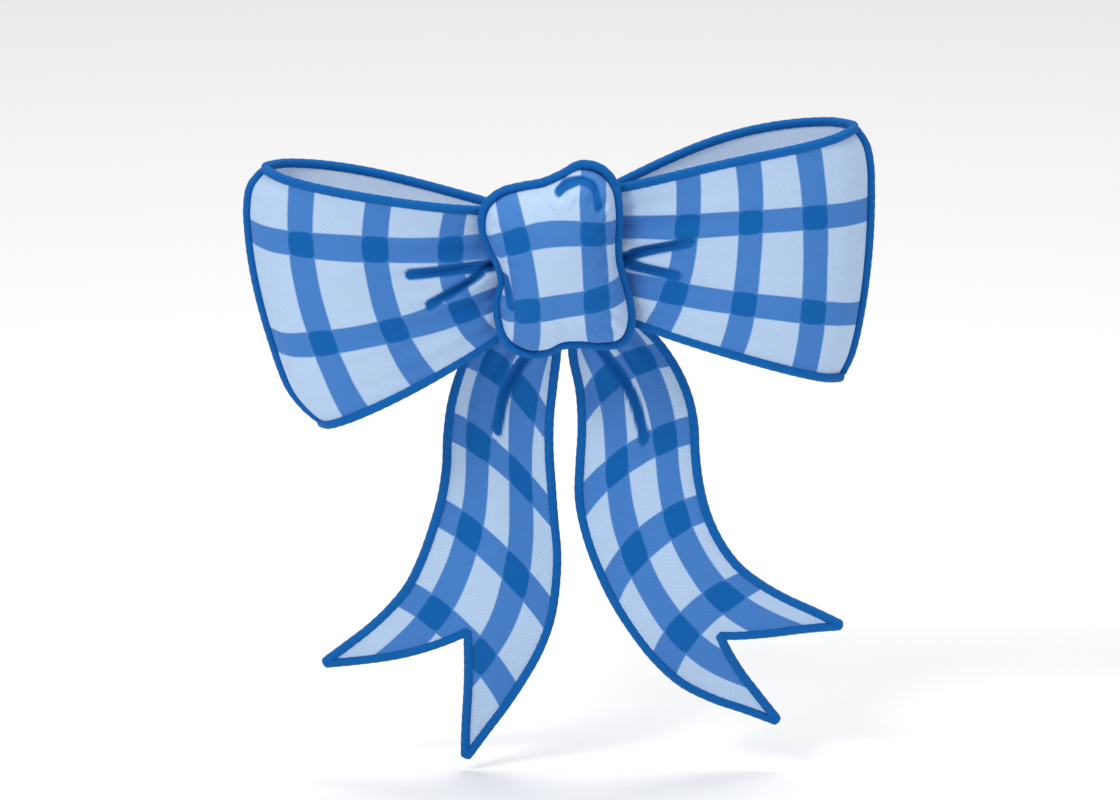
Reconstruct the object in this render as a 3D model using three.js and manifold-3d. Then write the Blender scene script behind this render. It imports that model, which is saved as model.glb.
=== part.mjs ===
// A pre-made gift bow in gingham ribbon: two wide loops and two notched tails gathered
// into a padded knot, with a card, an adhesive foam pad and a twist tie behind it.
// Millimetres, +Z up. The bow stands upright and faces -Y. The origin is the centre of
// the flat rear face of the release liner, which is where the bow meets a present.
import * as THREE from 'three';
import { mergeVertices } from 'three/addons/utils/BufferGeometryUtils.js';
import Module from 'manifold-3d';

const wasm = await Module();
wasm.setup();

// ---- driving dimensions -------------------------------------------------------------
const RIBBON_THICK = 0.8; // ribbon with its lining
const BINDING_R = 1.2; // bound edges and piping, radius
const BORE_R = 0.6; // tunnel in a bound edge
const WIRE_R = 0.3; // wire in that tunnel
const GAP = 0.3; // clearance between touching pieces
const BINDING_SIDES = 6;
const WIRE_SIDES = 5;
const LOOP_STEPS = 10; // sections along a loop's edge
const SEAM_STEPS = 12; // sections along a loop's end seam
const TAIL_STEPS = 14; // sections along a tail's edge

const LINER_THICK = 0.3;
const LINER = { width: 26, height: 31, tabWidth: 12, tabLength: 6 };
const PAD = { width: 25, height: 30, thick: 2 };
const CARD = { width: 28, height: 36, thick: 0.8, corner: 4 };
const TIE = { width: 4, thick: 0.6, halfCentre: 14.7, legStart: 15.3, legEnd: 62 };

const LOOP_Y = -19; // middle plane of both loops
const LOOP_NECK_HALF = 1.6; // half depth where a loop enters the knot
const LOOP_SWELL = 10.4; // extra half depth where a loop is fullest
const LOOP_FULL = 0.77; // highest value of the swell formula, which it is divided by
const LOOP_SEAM_ANGLE = 0.19; // bound edges stop here, short of the end seam
const LOOP_CORNER_SHARE = 0.14; // share of a loop's width in which a corner is rounded
const KNOT_SEAM_Y = -26.2; // plane of the piping round the knot
const KNOT_DEPTH = 10; // how far the padded front stands out from its rim
const KNOT_HALF_WIDTH = 17; // about half of the outline below
const KNOT_BACK = { rimY: -8.2, depth: 3.3, scale: 0.9 };
const TAIL_TOP_Y = -10; // tails leave the knot here and drift back to TAIL_Y
const TAIL_Y = -7.4;
const TAIL_DRIFT = 0.16; // share of the tail's length in which it does so
const TAIL_WAVE = { start: 0.3, forward: 4 }; // then it waves forward once, by this much
// The middle of the tail ribbon, folded in the knot: its outline in x and z.
const TAIL_FOLD = { outline: [[-8, -7.5], [9, -7.5], [6, -1], [-5, -1]], thick: 2.4 };

// The knot's outline, seen from the front, as x and z of points on one closed curve.
const KNOT_OUTLINE = [
  [-19.4, 12.5], [-17.5, 19.5], [-10.5, 22.2], [-3, 23.8], [6.9, 28.5], [13.4, 23.6],
  [15, 13], [14.9, 4], [17.6, -8.5], [16.8, -17.2], [9.5, -19.2], [2.5, -18.4],
  [-6.5, -21.4], [-13.5, -18.6], [-15.9, -9], [-14.4, -1.2],
];

// Each loop: [start, control, end] of its top and bottom edges, from the knot outwards,
// the control point that bows its outer end, how far its rounded outer corners are drawn
// in, and how much higher the back panel's top edge arches than the front's.
const LOOPS = {
  left: {
    top: [[-13, 14.6], [-46, 19.6], [-78.5, 25.6]],
    bottom: [[-13, -16.5], [-45, -35.2], [-65.5, -40.6]],
    endControl: [-82, -3],
    corners: { top: 4, bottom: 4.8 },
    backArch: 1.6,
  },
  right: {
    top: [[13, 20.2], [45.5, 31.4], [77.5, 36.4]],
    bottom: [[13, -12.3], [43, -20], [72.8, -28.8]],
    endControl: [81.4, 4],
    corners: { top: 3.2, bottom: 1.5 },
    backArch: 2,
  },
};

// Each tail: points on its outer and inner edges, from the knot to the tips, and where
// the notch reaches on the line half way between them.
const TAILS = {
  left: {
    outer: [[-12.5, -12.5], [-22.5, -25.2], [-28.4, -42], [-29.8, -61], [-33.2, -74],
      [-38.6, -86.5], [-47.5, -97], [-61.6, -109.2]],
    inner: [[-0.3, -17], [-0.5, -24], [-1.5, -32], [-3.2, -47], [-2, -64.5], [-0.6, -80],
      [-3.2, -98], [-11.5, -115.5], [-24.2, -134.4]],
    notch: 0.742,
  },
  right: {
    outer: [[13.5, -11.5], [27, -25.4], [33.2, -39.5], [34.6, -54], [37.2, -66.5],
      [44.5, -80], [55.5, -89.5], [72.8, -99]],
    inner: [[3.2, -17], [3.2, -24], [4.8, -32], [5.4, -46], [4.8, -62.5], [7.8, -76],
      [15.9, -94.4], [31.3, -112.9], [56.8, -124.6]],
    notch: 0.79,
  },
};

// ---- materials ----------------------------------------------------------------------
function finish(color, roughness, metalness = 0) {
  return new THREE.MeshStandardMaterial({ color, roughness, metalness });
}
const GINGHAM = finish(0xb0c9e7, 0.85);
const BINDING = finish(0x035da7, 0.7);
const WADDING = finish(0xe9eef5, 0.95);
const THREAD = finish(0x447bc2, 0.75);
const WIRE = finish(0x9aa3ad, 0.35, 1);
const CARDBOARD = finish(0xe4e1d6, 0.9);
const FOAM = finish(0xf4f4f0, 0.95);
const LINER_FILM = finish(0xd8e4f2, 0.4);
const TIE_PLASTIC = finish(0xf2f5fa, 0.45);

// ---- geometry helpers ---------------------------------------------------------------
function signedVolume(geometry) {
  const p = geometry.getAttribute('position');
  const index = geometry.getIndex();
  const [a, b, c] = [new THREE.Vector3(), new THREE.Vector3(), new THREE.Vector3()];
  let sum = 0;
  for (let i = 0; i < index.count; i += 3) {
    a.fromBufferAttribute(p, index.getX(i));
    b.fromBufferAttribute(p, index.getX(i + 1));
    c.fromBufferAttribute(p, index.getX(i + 2));
    sum += a.dot(b.cross(c));
  }
  return sum / 6;
}

// One closed mesh with shared vertices and its faces pointing out.
function closed(geometry) {
  geometry.deleteAttribute('normal');
  geometry.deleteAttribute('uv');
  const merged = mergeVertices(geometry, 1e-4);
  if (signedVolume(merged) < 0) {
    const index = merged.getIndex();
    for (let i = 0; i < index.count; i += 3) {
      const first = index.getX(i);
      index.setX(i, index.getX(i + 1));
      index.setX(i + 1, first);
    }
  }
  return merged;
}

function toSolid(geometry) {
  const vertProperties = new Float32Array(geometry.getAttribute('position').array);
  const triVerts = new Uint32Array(geometry.getIndex().array);
  return new wasm.Manifold(new wasm.Mesh({ numProp: 3, vertProperties, triVerts }));
}

function fromSolid(solid) {
  const mesh = solid.getMesh();
  const geometry = new THREE.BufferGeometry();
  geometry.setAttribute('position', new THREE.BufferAttribute(mesh.vertProperties, 3));
  geometry.setIndex(new THREE.BufferAttribute(mesh.triVerts, 1));
  geometry.computeVertexNormals();
  return geometry;
}

function named(name, geometry, material) {
  geometry.computeVertexNormals();
  const mesh = new THREE.Mesh(geometry, material);
  mesh.name = name;
  return mesh;
}

// A closed sheet of even thickness about the surface point(u, v), with u and v from 0 to 1.
function sheet(point, across, along, thickness) {
  const step = 1e-3;
  const positions = [];
  for (const side of [-1, 1]) {
    for (let j = 0; j <= along; j += 1) {
      for (let i = 0; i <= across; i += 1) {
        const [u, v] = [i / across, j / along];
        const u0 = Math.min(u, 1 - step);
        const v0 = Math.min(v, 1 - step);
        const here = point(u0, v0);
        const du = point(u0 + step, v0).sub(here);
        const dv = point(u0, v0 + step).sub(here);
        const offset = du.cross(dv).normalize().multiplyScalar((side * thickness) / 2);
        positions.push(...point(u, v).add(offset).toArray());
      }
    }
  }
  const row = across + 1;
  const layer = row * (along + 1);
  const faces = [];
  const quad = (a, b, c, d) => faces.push(a, b, c, a, c, d);
  for (let j = 0; j < along; j += 1) {
    for (let i = 0; i < across; i += 1) {
      const k = j * row + i;
      quad(k, k + row, k + row + 1, k + 1);
      quad(layer + k, layer + k + 1, layer + k + row + 1, layer + k + row);
    }
  }
  for (let i = 0; i < across; i += 1) {
    const top = along * row + i;
    quad(i, i + 1, layer + i + 1, layer + i);
    quad(top, layer + top, layer + top + 1, top + 1);
  }
  for (let j = 0; j < along; j += 1) {
    const low = j * row;
    const high = low + across;
    quad(low, layer + low, layer + low + row, low + row);
    quad(high, high + row, layer + high + row, layer + high);
  }
  const geometry = new THREE.BufferGeometry();
  geometry.setAttribute('position', new THREE.Float32BufferAttribute(positions, 3));
  geometry.setIndex(faces);
  return closed(geometry);
}

function circle(radius, sides) {
  const points = [];
  for (let i = 0; i < sides; i += 1) {
    const angle = (2 * Math.PI * i) / sides;
    points.push(new THREE.Vector2(radius * Math.cos(angle), radius * Math.sin(angle)));
  }
  return points;
}

// A rod, or a tube when it has a bore, along a smooth curve through the points.
function rod(points, radius, steps, sides, bore = 0) {
  const section = new THREE.Shape(circle(radius, sides));
  if (bore) section.holes.push(new THREE.Path(circle(bore, WIRE_SIDES)));
  const extrudePath = new THREE.CatmullRomCurve3(points);
  return closed(new THREE.ExtrudeGeometry(section, { steps, extrudePath }));
}

// A rounded cushion face: rings of the outline shrink to a pole as they rise by depth.
function domePoints(outline, rimY, depth, scale, rings) {
  const middle = outline.reduce((sum, p) => sum.add(p), new THREE.Vector2());
  middle.divideScalar(outline.length);
  const rows = [];
  for (let k = 0; k < rings; k += 1) {
    const angle = (Math.PI / 2) * (k / rings);
    const y = rimY + depth * Math.sin(angle);
    rows.push(outline.map((p) => {
      const q = p.clone().sub(middle).multiplyScalar(scale * Math.cos(angle)).add(middle);
      return new THREE.Vector3(q.x, y, q.y);
    }));
  }
  return { rows, pole: new THREE.Vector3(middle.x, rimY + depth, middle.y) };
}

// A closed solid from rows of rings between two poles.
function lofted(firstPole, rows, lastPole) {
  const count = rows[0].length;
  const points = [firstPole, ...rows.flat(), lastPole];
  const faces = [];
  const last = points.length - 1;
  for (let i = 0; i < count; i += 1) {
    const next = (i + 1) % count;
    faces.push(0, 1 + i, 1 + next);
    faces.push(last, last - count + next, last - count + i);
    for (let k = 0; k + 1 < rows.length; k += 1) {
      const low = 1 + k * count;
      const high = low + count;
      faces.push(low + i, high + i, high + next, low + i, high + next, low + next);
    }
  }
  const geometry = new THREE.BufferGeometry();
  geometry.setFromPoints(points);
  geometry.setIndex(faces);
  return closed(geometry);
}

function box(width, depth, height, x, y, z) {
  const geometry = new THREE.BoxGeometry(width, depth, height);
  geometry.translate(x, y, z);
  return closed(geometry);
}

function bezier([start, control, end], t) {
  const point = (p) => new THREE.Vector2(...p);
  return new THREE.QuadraticBezierCurve(point(start), point(control), point(end)).getPoint(t);
}

// ---- the knot -----------------------------------------------------------------------
function knotOutline(count) {
  const through = KNOT_OUTLINE.map(([x, z]) => new THREE.Vector3(x, 0, z));
  const curve = new THREE.CatmullRomCurve3(through, true);
  return curve.getSpacedPoints(count).slice(0, count).map((p) => new THREE.Vector2(p.x, p.z));
}

const RIM_Y = KNOT_SEAM_Y - BINDING_R - GAP;
const KNOT_SIDES = 28;

function shell(outline, rimY, depth, scale) {
  const toward = Math.sign(depth);
  const inset = 1 - RIBBON_THICK / KNOT_HALF_WIDTH;
  const outer = domePoints(outline, rimY, depth, scale, 4);
  const innerDepth = depth - toward * RIBBON_THICK;
  const inner = domePoints(outline, rimY, innerDepth, scale * inset, 4);
  return lofted(outer.pole, [...outer.rows.reverse(), ...inner.rows], inner.pole);
}

function knotFrontPanel() {
  return named('knot_front_panel', shell(knotOutline(KNOT_SIDES), RIM_Y, -KNOT_DEPTH, 1), GINGHAM);
}

function knotBackPanel() {
  const { rimY, depth, scale } = KNOT_BACK;
  return named('knot_back_panel', shell(knotOutline(KNOT_SIDES), rimY, depth, scale), GINGHAM);
}

function knotPiping() {
  const through = KNOT_OUTLINE.map(([x, z]) => new THREE.Vector3(x, KNOT_SEAM_Y, z));
  const curve = new THREE.CatmullRomCurve3(through, true);
  const ring = new THREE.TubeGeometry(curve, KNOT_SIDES, BINDING_R, BINDING_SIDES, true);
  return named('knot_piping', closed(ring), BINDING);
}

function knotWadding() {
  const dome = domePoints(knotOutline(KNOT_SIDES), RIM_Y, -KNOT_DEPTH + 1.5, 0.9, 3);
  const flat = new THREE.Vector3(dome.pole.x, RIM_Y, dome.pole.z);
  return named('knot_wadding', lofted(flat, dome.rows, dome.pole), WADDING);
}

const GATHER_Y = -18; // axis of the pinched middle of the loop ribbon
const GATHER = { halfLength: 11, radius: 5.8, waist: 4, waistHalf: 1.6 };

function alongX(profile, sides) {
  const geometry = new THREE.LatheGeometry(profile.map(([r, x]) => new THREE.Vector2(r, x)), sides);
  geometry.rotateZ(-Math.PI / 2);
  geometry.translate(0, GATHER_Y, 0);
  return closed(geometry);
}

function loopGather() {
  const { halfLength, radius, waist, waistHalf } = GATHER;
  const profile = [
    [0, -halfLength], [radius, -halfLength], [waist, -waistHalf],
    [waist, waistHalf], [radius, halfLength], [0, halfLength],
  ];
  return named('loop_gather', alongX(profile, 16), GINGHAM);
}

function gatherThread() {
  const inner = GATHER.waist + GAP;
  const outer = inner + 1;
  const half = GATHER.waistHalf - GAP;
  const profile = [[inner, -half], [outer, -half], [outer, half], [inner, half], [inner, -half]];
  return named('gather_thread', alongX(profile, 20), THREAD);
}

function tailFold() {
  const { outline, thick } = TAIL_FOLD;
  const shape = new THREE.Shape(outline.map(([x, z]) => new THREE.Vector2(x, z)));
  const geometry = new THREE.ExtrudeGeometry(shape, { depth: thick, bevelEnabled: false });
  geometry.rotateX(Math.PI / 2);
  geometry.translate(0, TAIL_TOP_Y + thick / 2, 0);
  return named('tail_fold', closed(geometry), GINGHAM);
}

// ---- fastening behind the knot ------------------------------------------------------
function releaseLiner() {
  const { width, height, tabWidth, tabLength } = LINER;
  const y = -LINER_THICK / 2;
  const face = toSolid(box(width, LINER_THICK, height, 0, y, 0));
  const tabZ = -(height + tabLength - 1) / 2; // it overlaps the face by 1 mm
  const tab = toSolid(box(tabWidth, LINER_THICK, tabLength + 1, 0, y, tabZ));
  return named('release_liner', fromSolid(face.add(tab)), LINER_FILM);
}

function foamPad() {
  const y = -LINER_THICK - GAP - PAD.thick / 2;
  return named('foam_pad', box(PAD.width, PAD.thick, PAD.height, 0, y, 0), FOAM);
}

const CARD_REAR_Y = -LINER_THICK - 2 * GAP - PAD.thick;

function backingCard() {
  const { width, height, thick, corner } = CARD;
  const [w, h] = [width / 2, height / 2];
  const shape = new THREE.Shape();
  shape.moveTo(-w + corner, -h);
  shape.absarc(w - corner, -h + corner, corner, -Math.PI / 2, 0);
  shape.absarc(w - corner, h - corner, corner, 0, Math.PI / 2);
  shape.absarc(-w + corner, h - corner, corner, Math.PI / 2, Math.PI);
  shape.absarc(-w + corner, -h + corner, corner, Math.PI, 1.5 * Math.PI);
  const options = { depth: thick, bevelEnabled: false, curveSegments: 5 };
  const geometry = new THREE.ExtrudeGeometry(shape, options);
  geometry.rotateX(Math.PI / 2);
  geometry.translate(0, CARD_REAR_Y, 0);
  return named('backing_card', closed(geometry), CARDBOARD);
}

const TIE_Y = CARD_REAR_Y - CARD.thick - GAP - TIE.thick / 2;

function twistTieCentre() {
  const geometry = box(2 * TIE.halfCentre, TIE.thick, TIE.width, 0, TIE_Y, 0);
  return named('twist_tie_centre', geometry, TIE_PLASTIC);
}

function twistTieLeg(side) {
  const direction = side === 'left' ? -1 : 1;
  const x = (direction * (TIE.legStart + TIE.legEnd)) / 2;
  const geometry = box(TIE.legEnd - TIE.legStart, TIE.thick, TIE.width, x, TIE_Y, 0);
  return named(`twist_tie_leg_${side}`, geometry, TIE_PLASTIC);
}

// ---- the loops ----------------------------------------------------------------------
// A loop's sheet, seen from above, is one half of a teardrop. angle runs from 0 at the
// end seam to pi at the knot, and v from 0 at the bottom edge to 1 at the top edge.
// Half depth = neck + swell * sin(angle) * cos(angle / 2). Each outer corner is drawn in
// by an amount that falls off as (1 - share / LOOP_CORNER_SHARE)^2 along the end and as
// u^4 along the edge.
function loopPoint(shape, face, angle, v) {
  const u = (1 + Math.cos(angle)) / 2;
  const top = bezier(shape.top, u);
  const low = bezier(shape.bottom, u);
  const end = bezier([shape.bottom[2], shape.endControl, shape.top[2]], v);
  const chord = new THREE.Vector2(...shape.bottom[2]).lerp(new THREE.Vector2(...shape.top[2]), v);
  const bow = end.sub(chord).multiplyScalar(u * u);
  const place = low.lerp(top, v).add(bow);
  const near = (share) => Math.max(1 - share / LOOP_CORNER_SHARE, 0) ** 2;
  const drawnIn = shape.corners.bottom * near(v) + shape.corners.top * near(1 - v);
  place.x -= Math.sign(place.x) * drawnIn * u ** 4;
  if (face > 0) place.y += shape.backArch * v * 4 * u * (1 - u);
  const swell = (LOOP_SWELL / LOOP_FULL) * Math.sin(angle) * Math.cos(angle / 2);
  const neck = LOOP_NECK_HALF * (1 - u);
  return new THREE.Vector3(place.x, LOOP_Y + face * (neck + swell), place.y);
}

function samples(count, start, end, point) {
  return Array.from({ length: count + 1 }, (_, i) => point(start + ((end - start) * i) / count));
}

function largest(solid) {
  const parts = solid.decompose().sort((a, b) => b.volume() - a.volume());
  return closed(fromSolid(parts[0]));
}

function rodSolid(path, radius, steps) {
  return toSolid(rod(path, radius, steps, BINDING_SIDES));
}

// What is left of a solid once each cutter is taken out of it.
function without(solid, cutters) {
  return largest(cutters.reduce((rest, cutter) => rest.subtract(cutter), solid));
}

function loop(side) {
  const shape = LOOPS[side];
  const pieces = [];
  const seam = samples(SEAM_STEPS, 0, 1, (v) => loopPoint(shape, -1, 0, v));
  for (const [faceName, face] of [['front', -1], ['back', 1]]) {
    const edge = (v, from) => samples(LOOP_STEPS, from, Math.PI, (a) => loopPoint(shape, face, a, v));
    const spread = (v) => (1 - Math.cos(Math.PI * v)) / 2; // closer rows at both edges
    const surface = (u, v) => loopPoint(shape, face, Math.PI * u, spread(v));
    const blank = sheet(surface, 10, 4, RIBBON_THICK);
    const bound = [edge(0, LOOP_SEAM_ANGLE), edge(1, LOOP_SEAM_ANGLE)];
    const cutters = [seam, edge(0, 0), edge(1, 0), ...bound];
    const room = cutters.map((path) => rodSolid(path, BINDING_R + GAP, path.length - 1));
    const panel = without(toSolid(blank), room);
    pieces.push(named(`${side}_loop_${faceName}_panel`, panel, GINGHAM));
    for (const [edgeName, path] of [['bottom', bound[0]], ['top', bound[1]]]) {
      const name = `${side}_loop_${edgeName}_${faceName}`;
      const binding = rod(path, BINDING_R, LOOP_STEPS, BINDING_SIDES, BORE_R);
      pieces.push(named(`${name}_binding`, binding, BINDING));
      pieces.push(named(`${name}_wire`, rod(path, WIRE_R, LOOP_STEPS, WIRE_SIDES), WIRE));
    }
  }
  pieces.push(named(`${side}_loop_end_piping`, rod(seam, BINDING_R, SEAM_STEPS, BINDING_SIDES), BINDING));
  return pieces;
}

// ---- the tails ----------------------------------------------------------------------
function tailDepth(v) {
  const t = Math.min(v / TAIL_DRIFT, 1);
  const wave = Math.sin(Math.PI * Math.max((v - TAIL_WAVE.start) / (1 - TAIL_WAVE.start), 0));
  const drift = (TAIL_Y - TAIL_TOP_Y) * t * t * (3 - 2 * t);
  return TAIL_TOP_Y + drift - TAIL_WAVE.forward * wave * wave;
}

function tailCurve(points) {
  return new THREE.CatmullRomCurve3(points.map(([x, z]) => new THREE.Vector3(x, 0, z)));
}

// u runs from the outer to the inner edge, v from the knot to the tips.
function tailPoint(curves, u, v) {
  const place = curves.outer.getPointAt(v).lerp(curves.inner.getPointAt(v), u);
  place.y = tailDepth(v);
  return place;
}

// The V of the notch: a rod down each side of it and a ball where they meet.
function notchSolid(line, radius) {
  const apex = line(0.5, 0.5)[0];
  const ball = new THREE.SphereGeometry(radius, 8, 6);
  ball.translate(apex.x, apex.y, apex.z);
  const legs = [line(0, 0.5), line(0.5, 1)].map((path) => rodSolid(path, radius, 5));
  return legs[0].add(legs[1]).add(toSolid(closed(ball)));
}

function tail(side) {
  const shape = TAILS[side];
  const curves = { outer: tailCurve(shape.outer), inner: tailCurve(shape.inner) };
  const edge = (u) => samples(TAIL_STEPS, 0, 1, (v) => tailPoint(curves, u, v));
  const reach = (u) => 1 - (1 - shape.notch) * (1 - Math.abs(2 * u - 1));
  const blank = sheet((u, v) => tailPoint(curves, u, v * reach(u)), 4, 12, RIBBON_THICK);
  const line = (from, to) => samples(8, from, to, (u) => tailPoint(curves, u, reach(u)));
  const room = [edge(0), edge(1)].map((path) => rodSolid(path, BINDING_R + GAP, TAIL_STEPS));
  const panel = without(toSolid(blank), [...room, notchSolid(line, BINDING_R + GAP)]);
  const pieces = [named(`${side}_tail_panel`, panel, GINGHAM)];
  for (const [edgeName, u] of [['outer', 0], ['inner', 1]]) {
    const name = `${side}_tail_${edgeName}`;
    const binding = rod(edge(u), BINDING_R, TAIL_STEPS, BINDING_SIDES, BORE_R);
    pieces.push(named(`${name}_binding`, binding, BINDING));
    pieces.push(named(`${name}_wire`, rod(edge(u), WIRE_R, TAIL_STEPS, WIRE_SIDES), WIRE));
  }
  const notch = without(notchSolid(line, BINDING_R), room);
  pieces.push(named(`${side}_tail_notch_binding`, notch, BINDING));
  return pieces;
}

// ---- assembly -----------------------------------------------------------------------
const bow = new THREE.Group();
bow.add(knotFrontPanel(), knotBackPanel(), knotPiping(), knotWadding());
bow.add(loopGather(), gatherThread(), tailFold());
bow.add(backingCard(), foamPad(), releaseLiner(), twistTieCentre());
for (const side of ['left', 'right']) {
  bow.add(twistTieLeg(side), ...loop(side), ...tail(side));
}

export default bow;
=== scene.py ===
"""A pre-made gift bow in gingham ribbon: two wired loops, two notched tails, a padded knot,
and behind it a card, a foam pad with its liner and a twist tie. Lengths inside are in
millimetres until a mesh is written, which is in metres."""
import math

import bpy
import numpy as np
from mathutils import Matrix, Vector


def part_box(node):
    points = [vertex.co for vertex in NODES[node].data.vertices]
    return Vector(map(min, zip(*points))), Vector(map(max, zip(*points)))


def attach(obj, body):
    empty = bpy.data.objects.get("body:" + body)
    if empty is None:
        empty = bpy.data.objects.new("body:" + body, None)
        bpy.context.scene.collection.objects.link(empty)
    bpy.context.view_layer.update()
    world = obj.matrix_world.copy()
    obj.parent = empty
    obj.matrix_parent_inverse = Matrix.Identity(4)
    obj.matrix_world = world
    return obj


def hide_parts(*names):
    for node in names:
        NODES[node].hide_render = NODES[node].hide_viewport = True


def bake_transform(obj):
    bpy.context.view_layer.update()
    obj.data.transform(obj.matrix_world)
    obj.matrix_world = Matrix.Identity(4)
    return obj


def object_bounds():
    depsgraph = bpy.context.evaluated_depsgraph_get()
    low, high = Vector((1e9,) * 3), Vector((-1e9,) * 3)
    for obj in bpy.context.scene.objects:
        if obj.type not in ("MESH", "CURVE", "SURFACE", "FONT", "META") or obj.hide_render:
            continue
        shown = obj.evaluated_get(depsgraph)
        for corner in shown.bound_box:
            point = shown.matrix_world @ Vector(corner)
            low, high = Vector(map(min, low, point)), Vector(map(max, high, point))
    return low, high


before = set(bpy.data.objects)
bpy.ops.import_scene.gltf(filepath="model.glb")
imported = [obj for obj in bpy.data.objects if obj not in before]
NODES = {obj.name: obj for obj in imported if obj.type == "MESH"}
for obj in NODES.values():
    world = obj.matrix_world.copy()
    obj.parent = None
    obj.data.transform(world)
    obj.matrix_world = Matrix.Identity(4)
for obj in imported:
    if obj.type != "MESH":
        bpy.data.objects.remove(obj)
cad_low, cad_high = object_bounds()

MM = 0.001
BINDING_R = 1.2           # corded binding round every edge
WIRE_R = 0.3              # wire in the binding
RIBBON_THICK = 0.7        # ribbon with its lining
KNOT_THICK = 0.8          # the knot's panels with their lining
WIRE_SIDES = 5            # sides of the frame's wires
CORD_SIDES = 6            # sides of the frame's cords
LOOP_RIBBON_WIDTH = 63.5  # loop ribbon, cut flat
TAIL_RIBBON_WIDTH = 28.5  # tail ribbon, cut flat
BAR_HALF = 3.15           # half width of a printed gingham bar


# ---- reading the frame --------------------------------------------------------------
def corners(node):
    """Lowest and highest corner of a node, in millimetres."""
    low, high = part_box(node)
    return np.array(low) / MM, np.array(high) / MM


def node_points(node):
    """The node's separate corner points, in millimetres."""
    mesh = NODES[node].data
    co = np.empty(len(mesh.vertices) * 3)
    mesh.vertices.foreach_get("co", co)
    return np.unique(np.round(co.reshape(-1, 3) / MM, 3), axis=0)


def rod_centres(node, axis, sides):
    """Middles of a rod's rings, in order along an axis it never turns back on. Its rings
    don't overlap along that axis, so each run of as many points as it has sides is one."""
    points = node_points(node)
    points = points[np.argsort(points[:, axis])]
    return points.reshape(-1, sides, 3).mean(axis=1)


def stand_for(piece, node, body=None):
    """Hides the node that a piece stands for, and puts the piece under its body if one is given.
    """
    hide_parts(node)
    if body:
        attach(piece, body)


# ---- curves -------------------------------------------------------------------------
def smooth_path(points, count, closed=False):
    """Catmull-Rom curve through the points: in each span half of (2 p1 + (p2 - p0) t +
    (2 p0 - 5 p1 + 4 p2 - p3) t^2 + (3 p1 - 3 p2 + p3 - p0) t^3), spaced evenly by length."""
    points = np.asarray(points, float)
    if closed:
        padded = np.vstack([points[-1:], points, points[:2]])
    else:
        padded = np.vstack([2 * points[0] - points[1], points, 2 * points[-1] - points[-2]])
    p0, p1, p2, p3 = (padded[i:len(padded) - 3 + i, None, :] for i in range(4))
    t = np.linspace(0, 1, 40, endpoint=False)[None, :, None]
    dense = 0.5 * (2 * p1 + (p2 - p0) * t + (2 * p0 - 5 * p1 + 4 * p2 - p3) * t ** 2
                   + (3 * p1 - 3 * p2 + p3 - p0) * t ** 3)
    dense = np.vstack([dense.reshape(-1, points.shape[1]), padded[-2:-1]])
    length = np.r_[0, np.cumsum(np.linalg.norm(np.diff(dense, axis=0), axis=1))]
    where = np.linspace(0, length[-1], count, endpoint=not closed)
    return np.stack([np.interp(where, length, dense[:, k]) for k in range(dense.shape[1])], 1)


def path_length(path):
    """Sum of the distances between a path's points."""
    return float(np.linalg.norm(np.diff(path, axis=0), axis=1).sum())


def ease(x, low, high):
    """0 before low, 1 after high, and 3t^2 - 2t^3 between them."""
    t = np.clip((x - low) / (high - low), 0, 1)
    return t * t * (3 - 2 * t)


def settle(points):
    """The small unevenness of hand-tied cloth: each coordinate moves by up to 0.4 mm in
    long sine waves of the other two, the same for every piece so that seams stay shut."""
    x, y, z = points[..., 0], points[..., 1], points[..., 2]
    reach = 0.4
    out = np.empty_like(points)
    out[..., 0] = x + reach * np.sin(z / 9.0 + 0.8) * np.cos(y / 11.0)
    out[..., 1] = y + reach * np.sin(x / 8.0 + z / 13.0)
    out[..., 2] = z + reach * np.sin(x / 10.5 + 1.7) * np.cos(z / 17.0)
    return out


# ---- meshes -------------------------------------------------------------------------
def write_mesh(name, points, quads, triangles, materials, maps=None, slots=None, fold=None):
    """A mesh from points in millimetres, with its UV maps, material slots and painted shade
    along folds, and with its faces turned to point out."""
    mesh = bpy.data.meshes.new(name)
    mesh.from_pydata((points * MM).tolist(), [], quads.tolist() + triangles.tolist())
    for material in materials:
        mesh.materials.append(material)
    if slots is not None:
        mesh.polygons.foreach_set("material_index", slots.astype(np.int32))
    corner = np.empty(len(mesh.loops), np.int32)
    mesh.loops.foreach_get("vertex_index", corner)
    for title, values in (maps or {}).items():
        layer = mesh.uv_layers.new(name=title)
        layer.data.foreach_set("uv", values[corner].astype(np.float32).ravel())
    if fold is not None:
        attribute = mesh.attributes.new("fold", "FLOAT", "POINT")
        attribute.data.foreach_set("value", fold.astype(np.float32))
    if signed_volume(points, quads, triangles) < 0:
        mesh.flip_normals()
    mesh.shade_smooth()
    mesh.update()
    piece = bpy.data.objects.new(name, mesh)
    bpy.context.scene.collection.objects.link(piece)
    return piece


def signed_volume(points, quads, triangles):
    """A sixth of the sum of a . (b x c) over every triangle."""
    every = np.vstack([quads[:, [0, 1, 2]], quads[:, [0, 2, 3]], triangles]).astype(int)
    a, b, c = (points[every[:, k]] for k in range(3))
    return float((a * np.cross(b, c)).sum() / 6)


NO_TRIANGLES = np.empty((0, 3), int)


def grid_faces(rows, columns, wrap_rows=False, wrap_columns=False):
    """Four corners of each cell of a grid stored row by row."""
    i = np.arange(rows if wrap_rows else rows - 1)[:, None]
    j = np.arange(columns if wrap_columns else columns - 1)[None, :]
    i1 = (i + 1) % rows
    j1 = (j + 1) % columns
    cells = [i * columns + j, i * columns + j1, i1 * columns + j1, i1 * columns + j]
    return np.stack([np.broadcast_to(c, (i.size, j.size)) for c in cells], -1).reshape(-1, 4)


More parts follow.
